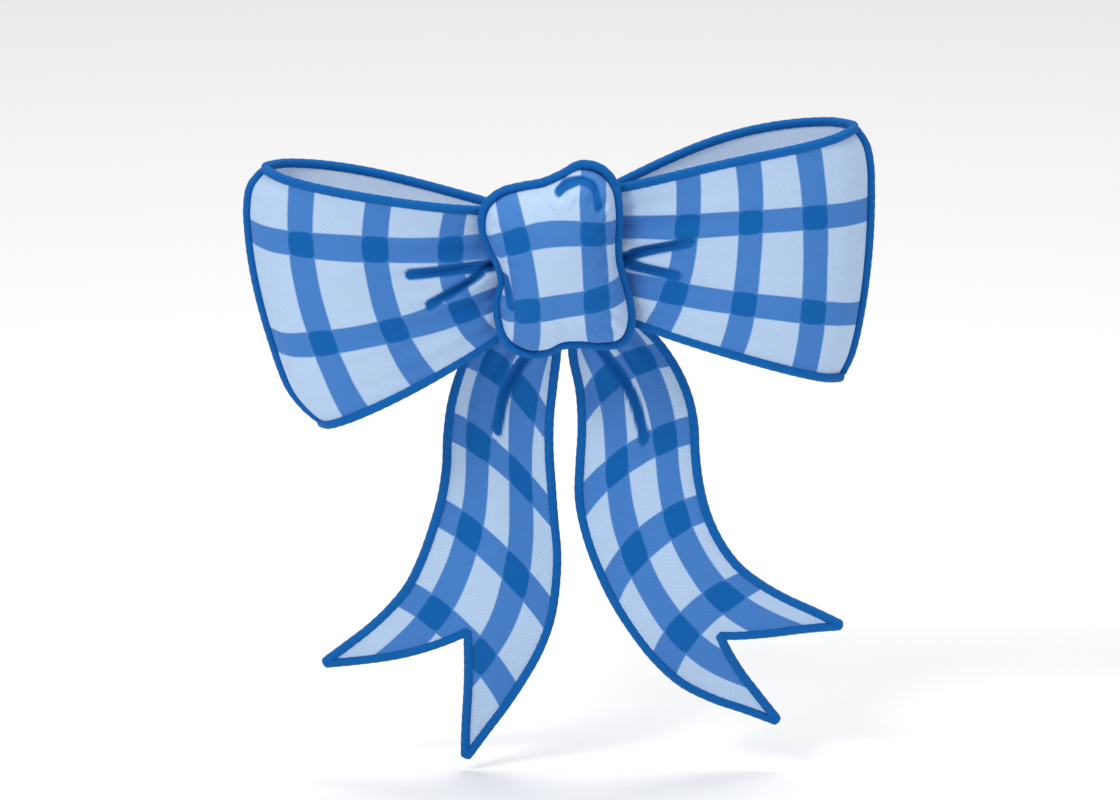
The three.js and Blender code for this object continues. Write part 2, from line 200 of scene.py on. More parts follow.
def grid_normals(surface):
    """Unit normals of a grid of points: the cross product of its two gradients."""
    normal = np.cross(np.gradient(surface, axis=0), np.gradient(surface, axis=1))
    return normal / np.maximum(np.linalg.norm(normal, axis=2, keepdims=True), 1e-9)


def cloth(name, surface, outward, uvs, fold):
    """A closed thin shell about a grid of points. The side whose normals run with the
    direction outward is printed, and the other side is the plain reverse."""
    rows, columns = surface.shape[:2]
    normal = grid_normals(surface)
    if (normal @ np.asarray(outward, float)).mean() < 0:
        normal = -normal
    offset = normal * RIBBON_THICK / 2
    count = rows * columns
    faces = grid_faces(rows, columns)
    index = np.arange(count).reshape(rows, columns)
    border = np.concatenate([index[0], index[1:, -1], index[-1, -2::-1], index[-2:0:-1, 0]])
    follow = np.roll(border, -1)
    rim = np.stack([border + count, follow + count, follow, border], 1)
    points = np.vstack([(surface + offset).reshape(-1, 3), (surface - offset).reshape(-1, 3)])
    quads = np.vstack([faces, faces[:, ::-1] + count, rim])
    slots = np.r_[np.zeros(len(faces)), np.ones(len(faces)), np.zeros(len(rim))]
    maps = {title: np.vstack([values.reshape(-1, 2)] * 2) for title, values in uvs.items()}
    return write_mesh(name, points, quads, NO_TRIANGLES, [GINGHAM, REVERSE], maps, slots,
                      np.tile(fold.ravel(), 2))


def cord_mesh(name, path, radius, material, sides=14, twist=0.0, ridge=0.0, closed=False):
    """A round rod along a path: at each point, radius times (cos a, sin a) in the plane
    across the path. ridge raises a thread that winds round it once every twist mm."""
    path = np.asarray(path, float)
    if closed:
        tangent = np.roll(path, -1, axis=0) - np.roll(path, 1, axis=0)
    else:
        tangent = np.gradient(path, axis=0)
    tangent /= np.linalg.norm(tangent, axis=1, keepdims=True)
    spread = np.abs(tangent).sum(axis=0)
    across = np.eye(3)[int(np.argmin(spread))]
    first = np.cross(tangent, across)
    first /= np.linalg.norm(first, axis=1, keepdims=True)
    second = np.cross(tangent, first)
    length = np.r_[0, np.cumsum(np.linalg.norm(np.diff(path, axis=0), axis=1))]
    if closed and twist:
        twist = length[-1] / max(round(length[-1] / twist), 1)
    angle = np.linspace(0, 2 * np.pi, sides, endpoint=False)[None, :]
    size = np.full((len(path), sides), float(radius))
    if ridge:
        size += ridge * np.cos(2 * np.pi * length[:, None] / twist + angle)
    if not closed:
        from_end = np.minimum(length, length[-1] - length)[:, None]
        size *= np.sqrt(np.clip(1 - (1 - np.clip(from_end / radius, 0, 1)) ** 2, 0.02, 1))
    ring = (first[:, None] * np.cos(angle)[..., None] + second[:, None] * np.sin(angle)[..., None])
    points = (path[:, None] + ring * size[..., None]).reshape(-1, 3)
    faces = grid_faces(len(path), sides, wrap_rows=closed, wrap_columns=True)
    uv = np.stack([np.broadcast_to(length[:, None], size.shape),
                   np.broadcast_to(angle * radius, size.shape)], -1).reshape(-1, 2)
    if not closed:
        last = (len(path) - 1) * sides
        tips = len(points) + np.arange(2)
        points = np.vstack([points, path[:1], path[-1:]])
        uv = np.vstack([uv, uv[:1], uv[last:last + 1]])
        k = np.arange(sides)
        k1 = (k + 1) % sides
        start = np.stack([np.full(sides, tips[0]), k1, k], 1)
        end = np.stack([np.full(sides, tips[1]), last + k, last + k1], 1)
        triangles = np.vstack([start, end])
    else:
        triangles = NO_TRIANGLES
    return write_mesh(name, points, faces, triangles, [material], {"cloth": uv})


# ---- materials ----------------------------------------------------------------------
def linear(hex_colour):
    """sRGB hex to the linear colour a shader takes: ((c + 0.055) / 1.055) ^ 2.4."""
    channels = [int(hex_colour[i:i + 2], 16) / 255 for i in (1, 3, 5)]
    return tuple(c / 12.92 if c <= 0.04045 else ((c + 0.055) / 1.055) ** 2.4
                 for c in channels) + (1.0,)


def add(tree, kind, inputs=None, **settings):
    """One node with its settings; inputs are values or the sockets that feed it."""
    node = tree.nodes.new(kind)
    for key, value in settings.items():
        setattr(node, key, value)
    for key, value in (inputs or {}).items():
        if isinstance(value, bpy.types.NodeSocket):
            tree.links.new(value, node.inputs[key])
        else:
            node.inputs[key].default_value = value
    return node


def new_material(name):
    """A material with a lone Principled shader, and its node tree."""
    material = bpy.data.materials.new(name)
    material.use_nodes = True
    tree = material.node_tree
    return material, tree, tree.nodes["Principled BSDF"]


def maths(tree, operation, first, second=0.0, third=0.0):
    inputs = {0: first, 1: second, 2: third}
    return add(tree, "ShaderNodeMath", inputs, operation=operation).outputs[0]


def weave_height(tree, pitch):
    """Plain weave: the sine of one thread count times the sine of the other, so that
    threads pass over and under. pitch is the distance between threads in millimetres."""
    cloth_map = add(tree, "ShaderNodeUVMap", uv_map="cloth")
    split = add(tree, "ShaderNodeSeparateXYZ", {0: cloth_map.outputs[0]})
    turn = math.pi / pitch
    warp = maths(tree, "SINE", maths(tree, "MULTIPLY", split.outputs[0], turn))
    weft = maths(tree, "SINE", maths(tree, "MULTIPLY", split.outputs[1], turn))
    return maths(tree, "MULTIPLY_ADD", maths(tree, "MULTIPLY", warp, weft), 0.5, 0.5)


# Cotton poplin threads lie 0.3 mm apart. They are drawn 0.6 mm apart, which is the finest
# that shows.
THREAD_PITCH = 0.6
PALE = "#B0C9E7"
MID = "#437BC2"
DARK = "#035DA7"


def cloth_shader(tree, shader, colour, height):
    """Matt cotton: high roughness, a soft sheen from loose fibres, and a weave bump."""
    tree.links.new(colour, shader.inputs["Base Color"])
    shader.inputs["Roughness"].default_value = 0.82
    shader.inputs["Specular IOR Level"].default_value = 0.15
    shader.inputs["Sheen Weight"].default_value = 0.05
    shader.inputs["Sheen Roughness"].default_value = 0.5
    bump = add(tree, "ShaderNodeBump", {"Height": height, "Strength": 0.35, "Distance": 0.0002})
    tree.links.new(bump.outputs[0], shader.inputs["Normal"])


def weave_shade_and_mottle(tree, colour, height, depth):
    """The colour darkened a little between threads as painted shade, and mottled as dyed yarn is.
    """
    position = add(tree, "ShaderNodeTexCoord").outputs["Object"]
    mottle = add(tree, "ShaderNodeTexNoise", {"Vector": position, "Scale": 260.0, "Detail": 3.0})
    sum_height = maths(tree, "MULTIPLY_ADD", mottle.outputs[0], 0.6, maths(
        tree, "MULTIPLY", height, 0.7))
    value = maths(tree, "MULTIPLY_ADD", sum_height, depth, 1.0 - depth * 0.65)
    return add(tree, "ShaderNodeHueSaturation", {"Color": colour, "Value": value}).outputs[0]


def printed_gingham():
    """Printed cotton gingham: pale ground, mid-blue bars and dark checks where bars cross.
    The map "bars" holds the distance in millimetres to the nearest cross bar and to the
    nearest lengthwise bar, so that a bar keeps its width wherever the cloth is gathered."""
    material, tree, shader = new_material("cotton_gingham_print")
    bars = add(tree, "ShaderNodeUVMap", uv_map="bars")
    position = add(tree, "ShaderNodeTexCoord").outputs["Object"]
    wobble = add(tree, "ShaderNodeTexNoise", {"Vector": position, "Scale": 55.0, "Detail": 1.0})
    waver = maths(tree, "MULTIPLY_ADD", wobble.outputs[0], 0.9, -0.45)
    split = add(tree, "ShaderNodeSeparateXYZ", {0: bars.outputs[0]})
    cross = maths(tree, "ADD", split.outputs[0], waver)
    length = maths(tree, "ADD", split.outputs[1], waver)

    def inside(distance):
        soft = 0.18  # ink edge in the cloth, mm
        return add(tree, "ShaderNodeMapRange", {
            "Value": distance, "From Min": BAR_HALF - soft, "From Max": BAR_HALF + soft,
            "To Min": 1.0, "To Max": 0.0}).outputs[0]

    either = maths(tree, "MAXIMUM", inside(cross), inside(length))
    rounded = 5.0  # power of the superellipse that rounds a check's corners
    powers = [maths(tree, "POWER", maths(tree, "ABSOLUTE", d), rounded) for d in (cross, length)]
    radius = maths(tree, "POWER", maths(tree, "ADD", *powers), 1 / rounded)
    blue = add(tree, "ShaderNodeMix", data_type="RGBA")
    link_mix(tree, blue, either, linear(PALE), linear(MID))
    check = add(tree, "ShaderNodeMix", data_type="RGBA")
    link_mix(tree, check, inside(radius), blue.outputs[2], linear(DARK))
    # Painted shade: the fold attribute darkens the print to the dark blue along the bottoms of
    # folds.
    fold = add(tree, "ShaderNodeAttribute", attribute_name="fold").outputs["Fac"]
    shade = add(tree, "ShaderNodeMix", data_type="RGBA")
    link_mix(tree, shade, fold, check.outputs[2], linear(DARK))
    height = weave_height(tree, THREAD_PITCH)
    cloth_shader(tree, shader, weave_shade_and_mottle(tree, shade.outputs[2], height, 0.12), height)
    return material


def link_mix(tree, node, factor, first, second):
    """Feeds a colour mix node: its colour sockets are numbers 6 and 7."""
    for key, value in ((0, factor), (6, first), (7, second)):
        if isinstance(value, bpy.types.NodeSocket):
            tree.links.new(value, node.inputs[key])
        else:
            node.inputs[key].default_value = value


def plain_cloth(name, colour, pitch, depth):
    """Plain woven cotton in one colour, as on the reverse of the print and on binding."""
    material, tree, shader = new_material(name)
    ground = add(tree, "ShaderNodeRGB")
    ground.outputs[0].default_value = linear(colour)
    height = weave_height(tree, pitch)
    toned = weave_shade_and_mottle(tree, ground.outputs[0], height, depth)
    cloth_shader(tree, shader, toned, height)
    return material


def galvanised_wire():
    """Zinc-coated steel craft wire: grey metal, drawn smooth and slightly dulled."""
    material, tree, shader = new_material("galvanised_steel_wire")
    shader.inputs["Base Color"].default_value = linear("#A9AEB5")
    shader.inputs["Metallic"].default_value = 1.0
    position = add(tree, "ShaderNodeTexCoord").outputs["Object"]
    streak = add(tree, "ShaderNodeTexNoise", {"Vector": position, "Scale": 900.0})
    rough = maths(tree, "MULTIPLY_ADD", streak.outputs[0], 0.2, 0.3)
    tree.links.new(rough, shader.inputs["Roughness"])
    return material


def speckled(name, colour, other, scale, roughness, bump_depth):
    """A matt material with fine specks in a second colour and a fine grain in relief."""
    material, tree, shader = new_material(name)
    position = add(tree, "ShaderNodeTexCoord").outputs["Object"]
    grain = add(tree, "ShaderNodeTexNoise", {"Vector": position, "Scale": scale, "Detail": 6.0})
    amount = add(tree, "ShaderNodeMapRange", {
        "Value": grain.outputs[0], "From Min": 0.35, "From Max": 0.7}).outputs[0]
    mix = add(tree, "ShaderNodeMix", data_type="RGBA")
    link_mix(tree, mix, amount, linear(colour), linear(other))
    tree.links.new(mix.outputs[2], shader.inputs["Base Color"])
    shader.inputs["Roughness"].default_value = roughness
    bump = add(tree, "ShaderNodeBump", {
        "Height": grain.outputs[0], "Strength": 0.5, "Distance": bump_depth})
    tree.links.new(bump.outputs[0], shader.inputs["Normal"])
    return material


GINGHAM = printed_gingham()
# The reverse of the print is undyed cotton that the ink has not come through. Its colour is also
# painted lighter to offset the shade inside the loops.
REVERSE = plain_cloth("cotton_reverse", "#D9E9FC", THREAD_PITCH, 0.10)
# Bias binding over a cord: dark dyed cotton, its threads running slantwise.
BINDING = plain_cloth("bias_binding_cotton", DARK, 0.7, 0.22)
THREAD = plain_cloth("waxed_polyester_thread", MID, 0.4, 0.3)
WIRE = galvanised_wire()
# Grey board: recycled fibre, matt, with flecks about half a millimetre across.
CARD = speckled("grey_board", "#D9D5C8", "#CDC9BC", 900.0, 0.9, 0.00003)
# Closed-cell polyethylene foam: white, matt, with cells about 0.4 mm across.
FOAM = speckled("polyethylene_foam", "#F3F3EF", "#DEDED8", 1600.0, 0.85, 0.0002)
# Siliconised paper liner: pale blue, smooth, with a low sheen.
LINER = speckled("siliconised_liner", "#CFDDEE", "#C6D6EA", 300.0, 0.38, 0.00002)
# Polyethylene-coated tie: white, moulded over the wire, semi-gloss.
TIE = speckled("polyethylene_tie", "#EEF2F8", "#E3E9F2", 500.0, 0.42, 0.00003)
# Polyester wadding: white fibre, fully matt.
WADDING = speckled("polyester_wadding", "#EEF1F6", "#DDE2EA", 700.0, 1.0, 0.0004)


# ---- folds --------------------------------------------------------------------------
def fold_relief(distance, strength, depth, width):
    """A pressed fold seen across it: a valley -depth exp(-(d/w)^2) between two soft
    ridges."""
    valley = np.exp(-(distance / width) ** 2)
    away, spread = 2.1 * width, 1.4 * width  # where the ridges stand, and their width
    ridges = (np.exp(-((distance - away) / spread) ** 2)
              + np.exp(-((distance + away) / spread) ** 2))
    return strength * depth * (0.5 * ridges - valley)


# Half width of the painted shade along the bottom of a fold, in a loop or tail and in the knot,
# mm.
FOLD_SHADE_HALF = 1.7
KNOT_FOLD_SHADE_HALF = 1.1
# Depth and half width of pressed folds and of the shallow pleats beside them, mm.
LOOP_FOLD_SIZE, LOOP_PLEAT_SIZE = (1.5, 1.2), (1.9, 1.8)
TAIL_FOLD_SIZE, TAIL_PLEAT_SIZE = (1.4, 1.2), (1.3, 1.5)
KNOT_FOLD_SIZE = (1.3, 1.2)


def painted_fold_shade(distance, beyond, half=FOLD_SHADE_HALF):
    """How much painted shade darkens a fold's bottom: 1 within its half width, with a round
    end where the fold stops, from the distance across it and the distance beyond its end."""
    return ease(half - np.hypot(distance, np.clip(beyond, 0, None)), -0.2, 0.2)


# ---- loops --------------------------------------------------------------------------
LOOP_CELLS = (150, 110)  # points across and along
# Cross bars of each loop, measured in millimetres inwards from its end seam: the first
# bar and the spacing, at the bottom edge and at the top edge.
LOOP_BARS = {
    "left": {"first": (12.7, 14.2), "spacing": (16.7, 19.5)},
    "right": {"first": (11.3, 15.5), "spacing": (18.5, 14.9)},
}
# Lengthwise bars, as shares of the width from the bottom, at the knot and at the end.
LENGTH_BARS = {
    "left": ((0.32, 0.357), (0.738, 0.758)),
    "right": ((0.289, 0.264), (0.705, 0.67)),
}
# Folds of each loop: share of the width at the knot and at the fold's end, and reach.
LOOP_FOLDS = {
    "left": [(0.60, 0.615, 19.0), (0.585, 0.425, 14.3)],
    "right": [(0.48, 0.60, 16.0), (0.445, 0.395, 12.6)],
}
LOOP_PLEATS = (0.10, 0.22, 0.33, 0.73, 0.86)  # shallow pleats beside them


def loop_edges(side, face):
    """Bottom edge, top edge and end seam, each from the knot or from the bottom."""
    seam = rod_centres(f"{side}_loop_end_piping", 2, CORD_SIDES)
    sign = -1 if side == "left" else 1
    edges = []
    for edge, corner in (("bottom", seam[0]), ("top", seam[-1])):
        centres = rod_centres(f"{side}_loop_{edge}_{face}_wire", 0, WIRE_SIDES)[::sign]
        edges.append(np.vstack([centres, corner]))
    return edges[0], edges[1], seam


def bar_distance(value, spacing, count):
    """Distance to the nearest of count bars at 0, 1, 2 ... times the spacing."""
    nearest = np.clip(np.round(value / spacing), 0, count - 1)
    return np.abs(value - nearest * spacing)


def loop_panel(side, face):
    """Half of a loop. With s along the ribbon and v across it, a point is the straight
    line from bottom(s) to top(s) at v, plus the end seam's bow times s^2, plus a swell
    outwards of sin(pi v) sin(pi s)^1.5, small waves, and the folds, which fade with
    distance from the knot."""
    across, along = LOOP_CELLS
    bottom, top, seam = loop_edges(side, face)
    s = np.linspace(0, 1, along)[:, None]
    v = np.linspace(0, 1, across)[None, :]
    low, high = smooth_path(bottom, along), smooth_path(top, along)
    flat = low[:, None] * (1 - v)[..., None] + high[:, None] * v[..., None]
    chord = seam[0] * (1 - v)[..., None] + seam[-1] * v[..., None]
    bow = smooth_path(seam, across)[None] - chord
    from_start = np.abs(flat[..., 0]) - np.abs(flat[:1, :, 0])
    outwards = from_start / from_start[-1:]
    surface = flat + bow * (outwards ** 2)[..., None]
    # The panel stops short of its end seam, so that the whole cord shows in front.
    short = 1.1 if face == "front" else 0.6
    surface[..., 0] -= np.sign(surface[..., 0]) * short * outwards ** 8
    outward = -1.0 if face == "front" else 1.0
    swell, waves = 1.4, 0.55  # mm
    width = np.linalg.norm(high - low, axis=1)[:, None]
    overlap = 2.0  # the knot's cord hides this much of the loop, mm
    knot_edge = np.abs(corners("knot_piping")[0 if side == "left" else 1][0]) - overlap
    from_knot = np.abs(surface[..., 0]) - knot_edge
    relief = swell * np.sin(np.pi * v) * np.sin(np.pi * s) ** 1.5
    relief += waves * np.sin(7.5 * v + 3.2 * s) * np.sin(5.1 * s - 2.2 * v + 1.0)
    fold = np.zeros_like(relief)
    hold = np.sin(np.pi * np.clip(v, 0, 1)) ** 0.4
    for start, end, length in LOOP_FOLDS[side]:
        t = np.clip(from_knot / length, 0, 1)
        centre = start + (end - start) * t ** 0.65
        strength = 1 - ease(from_knot, 0.6 * length, 1.5 * length)
        distance = (v - centre) * width
        relief += fold_relief(distance, strength, *LOOP_FOLD_SIZE)
        # On the front, painted shade darkens the bottom of each fold.
        if face == "front":
            fold = np.maximum(fold, painted_fold_shade(distance, from_knot - length))
    pleat_fade = 16.0  # mm from the knot in which a pleat falls to a third
    for place in LOOP_PLEATS:
        strength = np.exp(-np.clip(from_knot, 0, None) / pleat_fade)
        relief += fold_relief((v - place) * width, strength * hold, *LOOP_PLEAT_SIZE)
    surface[..., 1] += outward * relief * hold
    clear = np.abs(v[0] - 0.5) < 0.3  # the end seam away from its rounded corners
    seam_x = np.abs(smooth_path(seam, across)[:, 0])
    seam_x = np.polyval(np.polyfit(v[0][clear], seam_x[clear], 2), v)
    bars = LOOP_BARS[side]
    first, spacing = (at_bottom + (at_top - at_bottom) * v
                      for at_bottom, at_top in (bars["first"], bars["spacing"]))
    crosswise = bar_distance(seam_x - np.abs(surface[..., 0]) - first, spacing, 3)
    lengthwise = np.minimum(*[np.abs(v - near - (far - near) * s) * width
                              for near, far in LENGTH_BARS[side]])
    along_mm = s * (path_length(low) + path_length(high)) / 2
    uvs = {
        "cloth": np.stack(np.broadcast_arrays(along_mm, v * LOOP_RIBBON_WIDTH), -1),
        "bars": np.stack(np.broadcast_arrays(crosswise, lengthwise), -1),
    }
    name = f"{side}_loop_{face}"
    piece = cloth(name, settle(surface), (0, outward, 0), uvs, fold)
    stand_for(piece, f"{name}_panel")
    return piece, (LOOP_RIBBON_WIDTH * MM, float(along_mm.max()) * MM)


def bend_loop(piece):
    """Bakes the transform of a loop's cloth, binding or wire into its mesh."""
    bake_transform(piece)


def binding_cord(name, path, node, body=None, closed=False):
    """Bias binding over a cord: a low ridge of thread winds round it every 2.6 mm."""
    cord = cord_mesh(name, settle(path), BINDING_R, BINDING, 16, 2.6, 0.035, closed)
    stand_for(cord, node, body)
    return cord


def bound_edge(name, path, node_stem):
    """Binding over a wire, both on one path. Like the cloth they edge, they get no body."""
    spacing = 0.55  # between the cord's rings, mm; the wire has every third
    even = smooth_path(path, max(int(path_length(path) / spacing), 30))
    cord = binding_cord(name, even, f"{node_stem}_binding")
    wire = cord_mesh(f"{name}_wire", settle(even)[::3], WIRE_R, WIRE, sides=8)
    stand_for(wire, f"{node_stem}_wire")
    return cord, wire


def make_loop(side):
    """A loop's front and back, each with two wired edges, and the cord of its end seam."""
    for face in ("front", "back"):
        panel, cut = loop_panel(side, face)
        bend_loop(panel)
        trims = []
        for edge, path in zip(("bottom", "top"), loop_edges(side, face)):
            stem = f"{side}_loop_{edge}_{face}"
            trims += bound_edge(f"{stem}_edge", path, stem)
        for trim in trims:
            bend_loop(trim)
    seam = loop_edges(side, "front")[2]
    binding_cord(f"{side}_loop_end_cord", smooth_path(seam, 130), f"{side}_loop_end_piping",
                 f"{side}_loop")


# ---- tails --------------------------------------------------------------------------
# Points across and along. An odd count puts a row of points on the notch's corner.
TAIL_CELLS = (65, 260)
# Cross bars of each tail: shares of the length, on the outer edge and on the inner edge,
# so that the bars lie aslant.
TAIL_BARS = {
    "left": ((0.151, 0.232), (0.332, 0.42), (0.53, 0.637), (0.737, 0.838)),
    "right": ((0.183, 0.182), (0.374, 0.37), (0.554, 0.553), (0.76, 0.736)),
}
# Lengthwise bars: shares of the width from the outer edge, at the knot and at the tip.
TAIL_LENGTH_BARS = {
    "left": ((0.33, 0.218), (0.72, 0.657)),
    "right": ((0.25, 0.243), (0.65, 0.70)),
}
TAIL_BAR_WIDER = 0.3  # the tails' bars are wider by this much on each side
TAIL_ARCH = {"left": 0.028, "right": 0.033}  # how far the bars arch up, of the length
TAIL_PLEATS = (0.16, 0.36, 0.88)  # shallow pleats at the knot, of the width
# The fold of each tail: shares of the length and of the width from the outer edge.
TAIL_FOLDS = {
    "left": [(0.05, 0.68), (0.11, 0.58), (0.19, 0.49), (0.285, 0.465)],
    "right": [(0.05, 0.62), (0.11, 0.555), (0.16, 0.50), (0.225, 0.45), (0.32, 0.42)],
}


def tail_edges(side):
    """Outer edge and inner edge, each from the knot down."""
    outer = rod_centres(f"{side}_tail_outer_wire", 2, WIRE_SIDES)[::-1]
    inner = rod_centres(f"{side}_tail_inner_wire", 2, WIRE_SIDES)[::-1]
    return outer, inner


def notch_share(side, outer, inner):
    """How far along the tail its notch reaches, from the height of the notch's cord."""
    apex = corners(f"{side}_tail_notch_binding")[1][2] - BINDING_R
    middle = (smooth_path(outer, 200)[:, 2] + smooth_path(inner, 200)[:, 2]) / 2
    return float(np.interp(-apex, -middle, np.linspace(0, 1, 200)))


def end_share(notch, u):
    """Where the V cut ends the tail: at its full length on both edges, u = 0 and u = 1,
    and at the notch half way between them."""
    return 1 - (1 - notch) * (1 - np.abs(2 * u - 1))


def tail_surface(side, u, share):
    """A point of a tail: the straight line from outer(share) to inner(share) at u, puffed
    forwards by 4 u (1 - u), with small waves and the fold pressed into it. Also the width
    there, and the painted shade along the fold's bottom."""
    outer, inner = tail_edges(side)
    count = 600
    steps = np.linspace(0, 1, count)
    dense_outer, dense_inner = smooth_path(outer, count), smooth_path(inner, count)
    at = [np.stack([np.interp(share, steps, dense[:, k]) for k in range(3)], -1)
          for dense in (dense_outer, dense_inner)]
    points = at[0] * (1 - u)[..., None] + at[1] * u[..., None]
    width = np.linalg.norm(at[1] - at[0], axis=-1)
    path = np.array(TAIL_FOLDS[side])
    centre = np.interp(share, path[:, 0], path[:, 1])
    strength = 1 - ease(share, 0.6 * path[-1, 0], 1.4 * path[-1, 0])
    distance = (u - centre) * width
    relief = fold_relief(distance, strength, *TAIL_FOLD_SIZE)
    pleat_fade = 0.16  # share of the length in which a pleat falls to a third
    for place in TAIL_PLEATS:
        relief += fold_relief((u - place) * width, np.exp(-share / pleat_fade), *TAIL_PLEAT_SIZE)
    relief += 0.4 * np.sin(6.5 * u + 9.0 * share) * np.sin(17.0 * share - 2.0 * u)
    hold = np.sin(np.pi * u) ** 0.4
    crown = 1.5  # mm
    puff = crown * 4 * u * (1 - u) + 0.5 * np.sin(9 * share + 2.5 * u)
    points[..., 1] -= (relief + puff) * hold
    length = path_length(dense_outer)
    return points, width, painted_fold_shade(distance, (share - path[-1, 0]) * length)


def make_tail(side):
    """A tail's cloth with its print, its two wired edges and the cord round its notch."""
    across, along = TAIL_CELLS
    outer, inner = tail_edges(side)
    notch = notch_share(side, outer, inner)
    u = np.broadcast_to(np.linspace(0, 1, across)[None, :], (along, across))
    share = np.linspace(0, 1, along)[:, None] * end_share(notch, u)
    surface, width, fold = tail_surface(side, u, share)
    arch = TAIL_ARCH[side] * 4 * u * (1 - u)
    from_bars = [np.abs(share + arch - start - (end - start) * u)
                 for start, end in TAIL_BARS[side]]
    length = (path_length(outer) + path_length(inner)) / 2
    slant = 0.86  # cosine of the angle at which the bars cross the ribbon
    crosswise = np.min(from_bars, axis=0) * length * slant - TAIL_BAR_WIDER
    lengthwise = np.minimum(*[np.abs(u - near - (far - near) * share) * width
                              for near, far in TAIL_LENGTH_BARS[side]]) - TAIL_BAR_WIDER
    uvs = {
        "cloth": np.stack([share * length, u * TAIL_RIBBON_WIDTH], -1),
        "bars": np.stack([crosswise, lengthwise], -1),
    }
    panel = cloth(f"{side}_tail", settle(surface), (0, -1, 0), uvs, fold)
    stand_for(panel, f"{side}_tail_panel")
    trims = []
    for edge, path in (("outer", outer), ("inner", inner)):
        stem = f"{side}_tail_{edge}"
        trims += bound_edge(f"{stem}_edge", path, stem)
    u_notch = np.linspace(0, 1, 120)
    notch_path, _, _ = tail_surface(side, u_notch, end_share(notch, u_notch))
    cord = binding_cord(f"{side}_tail_notch_edge", notch_path, f"{side}_tail_notch_binding",
                        f"{side}_tail")
    for piece in [panel, *trims]:
        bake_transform(piece)


# ---- knot ---------------------------------------------------------------------------
KNOT_RINGS = 90
KNOT_SIDES = 320
KNOT_PUCKERS = 26  # small gathers round the seam of the knot's front
# The knot's printed bars, as curves place + lean t + bend t^2. For upright bars the curve
# gives x and t is (z - 4.6) / 19; for level bars it gives z and t is x / 13.
KNOT_VERTICALS = ((-9.5, -3.3, -2.1), (8.5, -0.9, 0.6))
KNOT_HORIZONTALS = ((12.8, 0.8, -2.1), (-5.9, 2.0, 0.0))
# Folds of the knot's front, as x and z in millimetres from the middle of its box.
KNOT_FOLDS = [
    [(0.5, 18.3), (3.0, 20.3), (6.2, 21.2), (9.2, 19.6), (10.4, 15.2)],
    [(-12.6, -3.6), (-11.9, -6.4), (-11.3, -10.6)],
]


def knot_outline(count):
    """The rim of the front panel: the farther of the two points at each direction."""
    points = node_points("knot_front_panel")
    rim = points[points[:, 1] > points[:, 1].max() - 0.05]
    middle = rim.mean(axis=0)
    x, z = rim[:, 0] - middle[0], rim[:, 2] - middle[2]
    angle = np.round(np.arctan2(z, x), 2)
    far = [np.argmax(np.where(angle == a, np.hypot(x, z), -1)) for a in np.unique(angle)]
    ring = rim[far][:, [0, 2]]
    return smooth_path(ring, count, closed=True), np.array([middle[0], middle[2]])


def distance_to_path(x, z, path):
    """Distance from each point to a smooth path, and how far along it the nearest is."""
    line = smooth_path(np.array(path, float), 60)
    gap = np.hypot(x[..., None] - line[:, 0], z[..., None] - line[:, 1])
    nearest = gap.argmin(axis=-1)
    return gap.min(axis=-1), nearest / (len(line) - 1)


def knot_dome(rim_y, depth, scale, fullness):
    """Rings of the outline shrink to the middle. At radius r, y moves from the rim by
    depth (1 - r^fullness)^(1/2), so the edge is steep and the middle is flat."""
    ring, middle = knot_outline(KNOT_SIDES)
    turn = np.linspace(0, np.pi / 2, KNOT_RINGS)
    r = np.cos(turn)
    points = np.empty((KNOT_RINGS, KNOT_SIDES, 3))
    spread = (ring - middle)[None] * scale * r[:, None, None] + middle
    points[..., 0] = spread[..., 0]
    points[..., 2] = spread[..., 1]
    points[..., 1] = (rim_y + depth * np.sqrt(np.clip(1 - r ** fullness, 0, 1)))[:, None]
    return points, r


def knot_maps(points):
    """The print on the knot, laid on from the front, and its cloth map."""
    x, z = points[..., 0], points[..., 2]
    up, aside = (z - 4.6) / 19, x / 13
    vertical = np.minimum(*[np.abs(x - place - lean * up - bend * up ** 2)
                            for place, lean, bend in KNOT_VERTICALS])
    horizontal = np.minimum(*[np.abs(z - place - lean * aside - bend * aside ** 2)
                              for place, lean, bend in KNOT_HORIZONTALS])
    return {"cloth": np.stack([x, z], -1), "bars": np.stack([vertical, horizontal], -1)}


def closed_dome(name, points, outward, uvs, fold):
    """A dome of rings as a closed shell: wrapped round, joined at its pole and its rim.
    Its print faces the direction outward."""
    rings, sides = points.shape[:2]
    normal = np.cross(np.gradient(points, axis=0),
                      (np.roll(points, -1, axis=1) - np.roll(points, 1, axis=1)))
    normal /= np.maximum(np.linalg.norm(normal, axis=2, keepdims=True), 1e-9)
    if (normal[:-1] @ np.asarray(outward, float)).mean() < 0:
        normal = -normal
    normal[-1] = outward
    shell = [points + normal * KNOT_THICK / 2, points - normal * KNOT_THICK / 2]

    def each_point(values):
        """Values for every ring but the last, then one for the pole."""
        width = values.shape[2] if values.ndim == 3 else 1
        return np.vstack([values[:-1].reshape(-1, width), values[-1, :1].reshape(1, width)])

    count = (rings - 1) * sides + 1
    faces = grid_faces(rings - 1, sides, wrap_columns=True)
    rim = np.arange(sides)
    follow = np.roll(rim, -1)
    last_ring = (rings - 2) * sides
    cap = np.stack([last_ring + rim, last_ring + follow, np.full(sides, count - 1)], 1)
    rim_faces = np.stack([rim + count, follow + count, follow, rim], 1)
    quads = np.vstack([faces, faces[:, ::-1] + count, rim_faces])
    triangles = np.vstack([cap, cap[:, ::-1] + count])
    slots = np.r_[np.zeros(len(faces)), np.ones(len(faces)), np.zeros(sides),
                  np.zeros(sides), np.ones(sides)]
    maps = {title: np.vstack([each_point(values)] * 2) for title, values in uvs.items()}
    all_points = np.vstack([each_point(side) for side in shell])
    return write_mesh(name, all_points, quads, triangles, [GINGHAM, REVERSE], maps, slots,
                      np.tile(each_point(fold).ravel(), 2))


